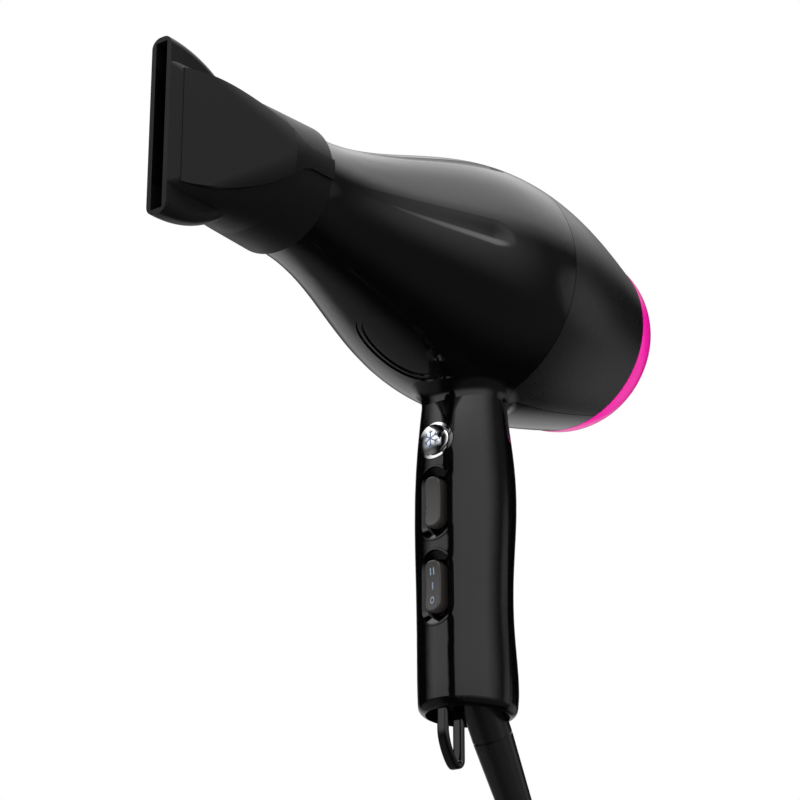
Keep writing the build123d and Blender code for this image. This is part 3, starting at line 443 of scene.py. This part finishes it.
def makeCoolMark():
    arms = []
    reach = coolMark["branchAt"]
    for count in range(coolMark["arms"]):
        turn = count * 2 * pi / coolMark["arms"]
        arms.append(inkBar(coolMark["armWidth"], coolMark["armLength"], (0, 0), turn))
        spot = (-sin(turn) * reach, cos(turn) * reach)
        for side in (-1, 1):
            lean = turn + side * radians(coolMark["branchTurn"])
            arms.append(inkBar(coolMark["armWidth"], coolMark["branchLength"], spot, lean))
    return printOn("coolMark", arms, coolMark, "cool_button", "slateBlue")


makeSpeedMarks()
makeCoolMark()
print("marks printed")


# Camera at the photograph's angle

camera = {
    "place": (-0.7356, -0.5370, -0.2900),
    "look": (0.738, 0.5695, 0.3625),
    "lens": 117.0,
    "sensor": 36.0,
}
cameraData = bpy.data.cameras.new("photoCamera")
cameraData.lens = camera["lens"]
cameraData.sensor_width = camera["sensor"]
cameraObject = bpy.data.objects.new("photoCamera", cameraData)
bpy.context.scene.collection.objects.link(cameraObject)
cameraObject.location = camera["place"]
cameraObject.rotation_euler = Vector(camera["look"]).to_track_quat("-Z", "Y").to_euler()
bpy.context.scene.camera = cameraObject
print("camera placed")


# Power cord: lead, tied coil and tail on one line

cord = {
    "diameter": 0.008,
    "gap": 0.0007,
    "outerRadius": 0.0565,
    "quarters": 12,
    "stepsPerQuarter": 6,
    "startTurn": 45,
    "roundSteps": 5,
    "lineSteps": 4,
    "middle": (0.051248, 0.0, -0.245152),
    "leadRoute": [
        (0.042372, 0.0, -0.107716),
        (0.055763, 0.0, -0.130002),
        (0.0600, 0.0, -0.1580),
        (0.0700, 0.0, -0.1840),
        (0.085543, 0.0, -0.199543),
    ],
    "tailRoute": [
        (0.096857, 0.0087, -0.210857),
        (0.113827, 0.0087, -0.227828),
        (0.123012, 0.0087, -0.250001),
        (0.123012, 0.0087, -0.274001),
    ],
    "length": 1.83,
}


def coilPoints():
    # The control points stand a little outside the line that they draw
    step = cord["diameter"] + cord["gap"]
    outside = 1 / (0.75 + 0.25 * cos(pi / 2 / cord["stepsPerQuarter"]))
    points = []
    for count in range(2 * cord["quarters"] * cord["stepsPerQuarter"] + 1):
        quarter = count / cord["stepsPerQuarter"]
        radius = cord["outerRadius"] - (cord["quarters"] - abs(quarter - cord["quarters"])) * step / 4
        climb = min(max((quarter - cord["quarters"] + 1) / 2, 0), 1)
        turn = radians(cord["startTurn"] + 90 * quarter)
        out = Vector((sin(turn), 0, cos(turn))) * radius * outside
        points.append(Vector(cord["middle"]) + out + Vector((0, climb * step, 0)))
    return points


def makeCord():
    curve = bpy.data.curves.new("powerCord", "CURVE")
    curve.dimensions = "3D"
    curve.bevel_depth = cord["diameter"] / 2
    curve.bevel_resolution = cord["roundSteps"]
    curve.resolution_u = cord["lineSteps"]
    curve.use_fill_caps = True
    line = curve.splines.new("NURBS")
    points = [Vector(point) for point in cord["leadRoute"]] + coilPoints()
    points += [Vector(point) for point in cord["tailRoute"]]
    line.points.add(len(points) - 1)
    for target, point in zip(line.points, points):
        target.co = (*point, 1)
    line.order_u = 3
    line.use_endpoint_u = True
    line.use_smooth = True
    piece = bpy.data.objects.new("powerCord", curve)
    bpy.context.scene.collection.objects.link(piece)
    paint(piece, "cord_black")
    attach(piece, "dryer")
    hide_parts("cord_lead", "cord_coil", "cord_tail")
    return piece


makeCord()
print("cord laid")


# Hanging loop, a flat strap bent round in one sweep

hangStrap = {
    # place along the barrel, height, and the same for the curve's handle after the point
    "route": [
        ((-0.0148, -0.0500), (-0.0148, -0.0550)),
        ((-0.0148, -0.0650), (-0.0148, -0.0705)),
        ((-0.0082, -0.0774), (-0.0066, -0.0774)),
        ((-0.0054, -0.0750), (-0.0054, -0.0735)),
        ((-0.0054, -0.0500), (-0.0054, -0.0480)),
    ],
    "halfWidth": 0.0011,
    "edgeRadius": 0.0012,
    "roundSteps": 4,
    "lineSteps": 24,
    "smoothAngle": 40,
}


def makeHangStrap():
    curve = bpy.data.curves.new("hangStrap", "CURVE")
    curve.dimensions = "2D"
    curve.fill_mode = "NONE"
    curve.extrude = hangStrap["halfWidth"]
    curve.bevel_depth = hangStrap["edgeRadius"]
    curve.bevel_resolution = hangStrap["roundSteps"]
    curve.resolution_u = hangStrap["lineSteps"]
    line = curve.splines.new("BEZIER")
    line.bezier_points.add(len(hangStrap["route"]) - 1)
    for target, (point, after) in zip(line.bezier_points, hangStrap["route"]):
        target.co = (*point, 0)
        target.handle_right = (*after, 0)
        target.handle_left = (2 * point[0] - after[0], 2 * point[1] - after[1], 0)
    strap = bpy.data.objects.new("hangStrap", curve)
    bpy.context.scene.collection.objects.link(strap)
    makeActive(strap)
    bpy.ops.object.convert(target="MESH")
    strap = bpy.context.object
    strap.rotation_euler = (pi / 2, 0, 0)
    bpy.ops.object.transform_apply(location=True, rotation=True, scale=True)
    bpy.ops.object.mode_set(mode="EDIT")
    bpy.ops.mesh.select_all(action="SELECT")
    bpy.ops.mesh.remove_doubles(threshold=mergeGap)
    bpy.ops.mesh.fill_holes(sides=0)
    bpy.ops.mesh.normals_make_consistent(inside=False)
    bpy.ops.object.mode_set(mode="OBJECT")
    bpy.ops.object.shade_smooth_by_angle(angle=radians(hangStrap["smoothAngle"]))
    paint(strap, slotOf["hang_loop"])
    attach(strap, "dryer")
    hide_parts("hang_loop")
    return strap


makeHangStrap()
print("hanging strap bent")


# Lips that close the handle's parting line below the end cap

seamLip = {
    "splitPlace": 0.0020,
    "thickness": 0.00024,
    "inner": 0.0149,
    "outer": 0.0163,
    "low": -0.0573,
    "high": -0.0519,
    "roundness": 0.0013,
    "roundSteps": 5,
}


def makeSeamLips():
    middle = (seamLip["inner"] + seamLip["outer"]) / 2
    height = (seamLip["low"] + seamLip["high"]) / 2
    deselectAll()
    bpy.ops.mesh.primitive_cube_add(size=1, location=(0, 0, 0))
    lips = bpy.context.object
    lips.name = "seamLips"
    bpy.ops.object.mode_set(mode="EDIT")
    bpy.ops.mesh.select_mode(type="EDGE")
    bpy.ops.mesh.select_all(action="SELECT")
    size = (seamLip["thickness"], seamLip["outer"] - seamLip["inner"], seamLip["high"] - seamLip["low"])
    bpy.ops.transform.resize(value=size)
    bpy.ops.transform.translate(value=(seamLip["splitPlace"], middle, height))
    bpy.ops.mesh.select_all(action="DESELECT")
    bpy.ops.object.mode_set(mode="OBJECT")
    for edge in lips.data.edges:
        ends = [lips.data.vertices[index].co for index in edge.vertices]
        edge.select = all(end.y > middle and end.z < height for end in ends)
    bpy.ops.object.mode_set(mode="EDIT")
    bpy.ops.mesh.bevel(offset=seamLip["roundness"], segments=seamLip["roundSteps"], affect="EDGES")
    bpy.ops.mesh.select_all(action="SELECT")
    bpy.ops.mesh.duplicate()
    bpy.ops.transform.rotate(value=pi, orient_axis="Z", center_override=(seamLip["splitPlace"], 0, 0))
    bpy.ops.object.mode_set(mode="OBJECT")
    paint(lips, slotOf["front_housing"])
    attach(lips, "dryer")
    return lips


makeSeamLips()
print("parting line closed")


# Floor, backdrop and light

studio = {"floor": -0.345, "size": 6.0, "dim": 0.004, "pale": 0.85, "matt": 0.6}
# A light is bright in the directions whose cosine with each way lies past that way's two limits
softLights = {
    "overhead": {"glow": 1.6, "fades": [((0, 0, 1), 0.43, 0.78)]},
    "rightPanel": {
        "glow": 1.0,
        "fades": [
            ((0.303, -0.953, 0), 0.0, 0.05),
            ((-0.942, -0.336, 0), -0.36, 0.36),
            ((0, 0, 1), -0.40, 0.36),
        ],
    },
    "leftPanel": {
        "glow": 1.15,
        "fades": [
            ((-0.045, 0.999, 0), -0.05, 0.06),
            ((-0.813, -0.583, 0), -0.36, 0.32),
            ((0, 0, 1), -0.15, 0.25),
        ],
    },
    "rightFill": {"glow": 0.10, "fades": [((0, -1, 0), 0.15, 0.70)]},
    "backFill": {"glow": 0.16, "fades": [((0, 1, 0), 0.15, 0.62), ((0, 0, -1), -0.05, 0.30)]},
    "backSheet": {"glow": 0.07, "fades": [((0.738, 0.570, 0.362), 0.92, 1.0)]},
    "lowRight": {"glow": 0.35, "fades": [((0.823, -0.560, 0.087), 0.95, 1.0)]},
    "lowBack": {"glow": 0.60, "fades": [((0.738, 0.670, -0.020), 0.84, 1.0), ((0, 0, -1), -0.30, -0.05)]},
    "rear": {"glow": 0.30, "fades": [((0.97, -0.12, -0.20), 0.90, 1.0)]},
}
deselectAll()
bpy.ops.mesh.primitive_plane_add(size=studio["size"], location=(0, 0, studio["floor"]))
floor = bpy.context.object
floor.name = "floor"
floorMaterial = baseMaterial("paleFloor", (studio["pale"],) * 3, studio["matt"])[0]
floor.data.materials.append(floorMaterial)
floor.visible_glossy = False


def lightWorld():
    # The camera sees plain white, and the dryer the soft lights round it
    world = bpy.data.worlds.new("studio")
    bpy.context.scene.world = world
    world.use_nodes = True
    tree = world.node_tree
    direction = tree.nodes.new("ShaderNodeTexCoord")

    def fade(way, low, high, glow):
        towards = tree.nodes.new("ShaderNodeVectorMath")
        towards.operation = "DOT_PRODUCT"
        towards.inputs[1].default_value = way
        ramp = tree.nodes.new("ShaderNodeMapRange")
        ramp.interpolation_type = "SMOOTHSTEP"
        ramp.inputs["From Min"].default_value = low
        ramp.inputs["From Max"].default_value = high
        ramp.inputs["To Max"].default_value = glow
        tree.links.new(direction.outputs["Generated"], towards.inputs[0])
        tree.links.new(towards.outputs["Value"], ramp.inputs["Value"])
        return ramp.outputs["Result"]

    def join(operation, first, second):
        node = tree.nodes.new("ShaderNodeMath")
        node.operation = operation
        for socket, value in zip(node.inputs, (first, second)):
            if isinstance(value, float):
                socket.default_value = value
            else:
                tree.links.new(value, socket)
        return node.outputs["Value"]

    total = studio["dim"]
    for light in softLights.values():
        glow = fade(*light["fades"][0], light["glow"])
        for edge in light["fades"][1:]:
            glow = join("MULTIPLY", glow, fade(*edge, 1.0))
        total = join("ADD", total, glow)
    path = tree.nodes.new("ShaderNodeLightPath")
    back = tree.nodes["Background"]
    back.inputs["Color"].default_value = (1, 1, 1, 1)
    tree.links.new(join("MAXIMUM", path.outputs["Is Camera Ray"], total), back.inputs["Strength"])


lightWorld()
bpy.context.scene.view_settings.view_transform = "Standard"
print("stage lit")
